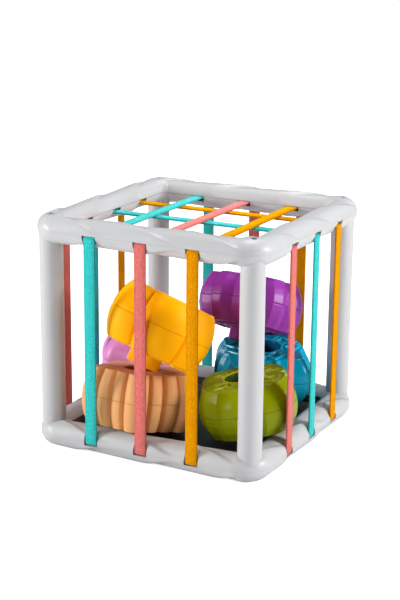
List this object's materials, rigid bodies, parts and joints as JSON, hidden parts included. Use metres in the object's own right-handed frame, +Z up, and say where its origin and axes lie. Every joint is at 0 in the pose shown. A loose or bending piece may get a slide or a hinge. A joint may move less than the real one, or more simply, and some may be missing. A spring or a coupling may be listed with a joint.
{
  "type": "shape sorter",
  "caption": "Pale plastic cage laced with flat elastic straps, holding chunky patterned blocks that are pushed in and pulled out between the straps.",
  "frame": {"origin": "middle of the footprint, on the surface that the cube stands on", "axes": "+X to the cube's right, +Y to its back, +Z up through the lid straps"},
  "size_m": [0.14, 0.14, 0.13],
  "materials": {
    "frame_plastic": "smooth moulded satin gloss",
    "strap_teal": "elastic woven band",
    "strap_coral": "elastic woven band",
    "strap_orange": "elastic woven band",
    "screw_steel": "plated",
    "green_plastic": "soft satin moulding",
    "green_hub_plastic": "soft satin moulding",
    "peach_plastic": "soft satin moulding",
    "peach_hub_plastic": "soft satin moulding",
    "pink_plastic": "soft satin moulding",
    "pink_hub_plastic": "soft satin moulding",
    "purple_plastic": "soft satin moulding",
    "purple_hub_plastic": "soft satin moulding",
    "blue_plastic": "soft satin moulding",
    "blue_hub_plastic": "soft satin moulding",
    "yellow_plastic": "soft satin moulding",
    "yellow_hub_plastic": "soft satin moulding"
  },
  "bodies": {
    "cage": {"top_ring_upper": "frame_plastic", "top_ring_lower": "frame_plastic", "base_ring_upper": "frame_plastic", "base_tray": "frame_plastic", "post_front_left": "frame_plastic", "post_front_right": "frame_plastic", "post_back_left": "frame_plastic", "post_back_right": "frame_plastic", "top_screws": "screw_steel", "base_screws": "screw_steel", "strap_returns": "strap_teal"},
    "front_strap_left_run": {"front_strap_left": "strap_teal"},
    "front_strap_middle_run": {"front_strap_middle": "strap_coral"},
    "front_strap_right_run": {"front_strap_right": "strap_orange"},
    "back_strap_left_run": {"back_strap_left": "strap_teal"},
    "back_strap_middle_run": {"back_strap_middle": "strap_coral"},
    "back_strap_right_run": {"back_strap_right": "strap_orange"},
    "left_strap_front_run": {"left_strap_front": "strap_coral"},
    "left_strap_middle_run": {"left_strap_middle": "strap_teal"},
    "left_strap_back_run": {"left_strap_back": "strap_orange"},
    "right_strap_front_run": {"right_strap_front": "strap_coral"},
    "right_strap_middle_run": {"right_strap_middle": "strap_teal"},
    "right_strap_back_run": {"right_strap_back": "strap_orange"},
    "lid_strap_left_run": {"lid_strap_left": "strap_teal"},
    "lid_cross_strap_front_run": {"lid_cross_strap_front": "strap_coral"},
    "lid_strap_middle_run": {"lid_strap_middle": "strap_coral"},
    "lid_cross_strap_middle_run": {"lid_cross_strap_middle": "strap_teal"},
    "lid_strap_right_run": {"lid_strap_right": "strap_orange"},
    "lid_cross_strap_back_run": {"lid_cross_strap_back": "strap_orange"},
    "green_block": {"green_block_upper": "green_plastic", "green_block_lower": "green_plastic", "green_block_hub": "green_hub_plastic"},
    "peach_block": {"peach_block_upper": "peach_plastic", "peach_block_lower": "peach_plastic", "peach_block_hub": "peach_hub_plastic"},
    "blue_block": {"blue_block_upper": "blue_plastic", "blue_block_lower": "blue_plastic", "blue_block_hub": "blue_hub_plastic"},
    "purple_block": {"purple_block_upper": "purple_plastic", "purple_block_lower": "purple_plastic", "purple_block_hub": "purple_hub_plastic"},
    "yellow_block": {"yellow_block_upper": "yellow_plastic", "yellow_block_lower": "yellow_plastic", "yellow_block_hub": "yellow_hub_plastic"},
    "pink_block": {"pink_block_upper": "pink_plastic", "pink_block_lower": "pink_plastic", "pink_block_hub": "pink_hub_plastic"}
  },
  "joints": [
    {"name": "front_strap_left_stretch", "type": "slide", "parent": "cage", "child": "front_strap_left_run", "axis": [0, -1, 0], "range_m": [0, 0.012], "stiffness_N_per_m": 120, "deforming": ["front_strap_left"]},
    {"name": "front_strap_middle_stretch", "type": "slide", "parent": "cage", "child": "front_strap_middle_run", "axis": [0, -1, 0], "range_m": [0, 0.012], "stiffness_N_per_m": 120, "deforming": ["front_strap_middle"]},
    {"name": "front_strap_right_stretch", "type": "slide", "parent": "cage", "child": "front_strap_right_run", "axis": [0, -1, 0], "range_m": [0, 0.012], "stiffness_N_per_m": 120, "deforming": ["front_strap_right"]},
    {"name": "back_strap_left_stretch", "type": "slide", "parent": "cage", "child": "back_strap_left_run", "axis": [0, 1, 0], "range_m": [0, 0.012], "stiffness_N_per_m": 120, "deforming": ["back_strap_left"]},
    {"name": "back_strap_middle_stretch", "type": "slide", "parent": "cage", "child": "back_strap_middle_run", "axis": [0, 1, 0], "range_m": [0, 0.012], "stiffness_N_per_m": 120, "deforming": ["back_strap_middle"]},
    {"name": "back_strap_right_stretch", "type": "slide", "parent": "cage", "child": "back_strap_right_run", "axis": [0, 1, 0], "range_m": [0, 0.012], "stiffness_N_per_m": 120, "deforming": ["back_strap_right"]},
    {"name": "left_strap_front_stretch", "type": "slide", "parent": "cage", "child": "left_strap_front_run", "axis": [-1, 0, 0], "range_m": [0, 0.012], "stiffness_N_per_m": 120, "deforming": ["left_strap_front"]},
    {"name": "left_strap_middle_stretch", "type": "slide", "parent": "cage", "child": "left_strap_middle_run", "axis": [-1, 0, 0], "range_m": [0, 0.012], "stiffness_N_per_m": 120, "deforming": ["left_strap_middle"]},
    {"name": "left_strap_back_stretch", "type": "slide", "parent": "cage", "child": "left_strap_back_run", "axis": [-1, 0, 0], "range_m": [0, 0.012], "stiffness_N_per_m": 120, "deforming": ["left_strap_back"]},
    {"name": "right_strap_front_stretch", "type": "slide", "parent": "cage", "child": "right_strap_front_run", "axis": [1, 0, 0], "range_m": [0, 0.012], "stiffness_N_per_m": 120, "deforming": ["right_strap_front"]},
    {"name": "right_strap_middle_stretch", "type": "slide", "parent": "cage", "child": "right_strap_middle_run", "axis": [1, 0, 0], "range_m": [0, 0.012], "stiffness_N_per_m": 120, "deforming": ["right_strap_middle"]},
    {"name": "right_strap_back_stretch", "type": "slide", "parent": "cage", "child": "right_strap_back_run", "axis": [1, 0, 0], "range_m": [0, 0.012], "stiffness_N_per_m": 120, "deforming": ["right_strap_back"]},
    {"name": "lid_strap_left_stretch", "type": "slide", "parent": "cage", "child": "lid_strap_left_run", "axis": [0, 0, 1], "range_m": [0, 0.012], "stiffness_N_per_m": 120, "deforming": ["lid_strap_left"]},
    {"name": "lid_cross_strap_front_stretch", "type": "slide", "parent": "cage", "child": "lid_cross_strap_front_run", "axis": [0, 0, -1], "range_m": [0, 0.012], "stiffness_N_per_m": 120, "deforming": ["lid_cross_strap_front"]},
    {"name": "lid_strap_middle_stretch", "type": "slide", "parent": "cage", "child": "lid_strap_middle_run", "axis": [0, 0, 1], "range_m": [0, 0.012], "stiffness_N_per_m": 120, "deforming": ["lid_strap_middle"]},
    {"name": "lid_cross_strap_middle_stretch", "type": "slide", "parent": "cage", "child": "lid_cross_strap_middle_run", "axis": [0, 0, -1], "range_m": [0, 0.012], "stiffness_N_per_m": 120, "deforming": ["lid_cross_strap_middle"]},
    {"name": "lid_strap_right_stretch", "type": "slide", "parent": "cage", "child": "lid_strap_right_run", "axis": [0, 0, 1], "range_m": [0, 0.012], "stiffness_N_per_m": 120, "deforming": ["lid_strap_right"]},
    {"name": "lid_cross_strap_back_stretch", "type": "slide", "parent": "cage", "child": "lid_cross_strap_back_run", "axis": [0, 0, -1], "range_m": [0, 0.012], "stiffness_N_per_m": 120, "deforming": ["lid_cross_strap_back"]},
    {"name": "green_block_pull", "type": "slide", "parent": "cage", "child": "green_block", "axis": [0.9679, -0.0677, 0.2419], "range_m": [0, 0.065]},
    {"name": "peach_block_pull", "type": "slide", "parent": "cage", "child": "peach_block", "axis": [-0.1023, -0.9731, 0.2062], "range_m": [0, 0.069]},
    {"name": "blue_block_pull", "type": "slide", "parent": "cage", "child": "blue_block", "axis": [-0.1314, 0.9846, 0.1149], "range_m": [0, 0.073]},
    {"name": "purple_block_pull", "type": "slide", "parent": "cage", "child": "purple_block", "axis": [-0.0677, 0.9679, 0.2419], "range_m": [0, 0.08]},
    {"name": "yellow_block_pull", "type": "slide", "parent": "cage", "child": "yellow_block", "axis": [-0.135, -0.9609, 0.2419], "range_m": [0, 0.066]},
    {"name": "pink_block_pull", "type": "slide", "parent": "cage", "child": "pink_block", "axis": [-0.9905, 0.0207, 0.1357], "range_m": [0, 0.059]}
  ]
}
